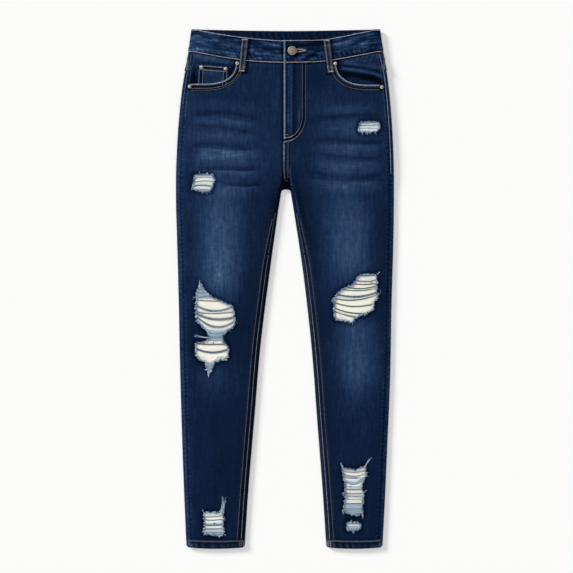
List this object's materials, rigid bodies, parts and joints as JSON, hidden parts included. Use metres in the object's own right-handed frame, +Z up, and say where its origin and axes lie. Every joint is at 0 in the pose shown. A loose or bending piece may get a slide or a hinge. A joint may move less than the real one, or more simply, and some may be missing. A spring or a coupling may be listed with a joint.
{
  "type": "ripped jeans",
  "caption": "Slim five-pocket denim trousers laid flat, with a button and zip fly, belt loops, rivets, turned hems, and torn, frayed thighs, knees and ankles backed with pale cloth.",
  "frame": {"origin": "middle of the bounding box on the surface that the jeans lie on, in the gap between the legs a little above knee height", "axes": "+X towards the wearer's left, +Y towards the waist, +Z up from the surface, so the fronts face up"},
  "size_m": [0.4243, 1.0123, 0.0147],
  "materials": {
    "denim": "matt dark indigo twill, faded on the thighs and below the knees",
    "denim_wrong_side": "matt denim, wrong side",
    "zip_tape": "matt woven tape with a metal chain",
    "aged_brass": "aged, softly worn",
    "pale_copper": "pale copper plate, worn bright",
    "weft_yarn": "loose pale blue-grey cotton yarn",
    "backing_cloth": "matt cream cotton"
  },
  "bodies": {
    "root": {"front_panel_right": "denim", "front_panel_left": "denim", "back_panel_right": "denim", "back_panel_left": "denim", "yoke_right": "denim", "yoke_left": "denim", "pocket_facing_right": "denim", "pocket_facing_left": "denim", "coin_pocket": "denim", "back_pocket_right": "denim", "back_pocket_left": "denim", "waistband_right": "denim", "waistband_left": "denim", "belt_loop_front_right": "denim", "belt_loop_front_left": "denim", "belt_loop_side_right": "denim", "belt_loop_side_left": "denim", "belt_loop_back": "denim", "fly_shield": "denim_wrong_side", "zip": "zip_tape", "waist_button": "aged_brass", "zip_slider": "aged_brass", "rivet_pocket_right_inner": "pale_copper", "rivet_pocket_right_outer": "pale_copper", "rivet_pocket_left_inner": "pale_copper", "rivet_pocket_left_outer": "pale_copper", "rivet_coin_right": "pale_copper", "rivet_coin_left": "pale_copper", "threads_thigh_right": "weft_yarn", "threads_thigh_left": "weft_yarn", "threads_knee_right": "weft_yarn", "threads_knee_left": "weft_yarn", "threads_ankle_right": "weft_yarn", "threads_ankle_left": "weft_yarn", "threads_ankle_left_small": "weft_yarn", "backing_thigh_right": "backing_cloth", "backing_thigh_left": "backing_cloth", "backing_knee_right": "backing_cloth", "backing_knee_left": "backing_cloth", "backing_ankle_right": "backing_cloth", "backing_ankle_left": "backing_cloth"}
  },
  "joints": []
}
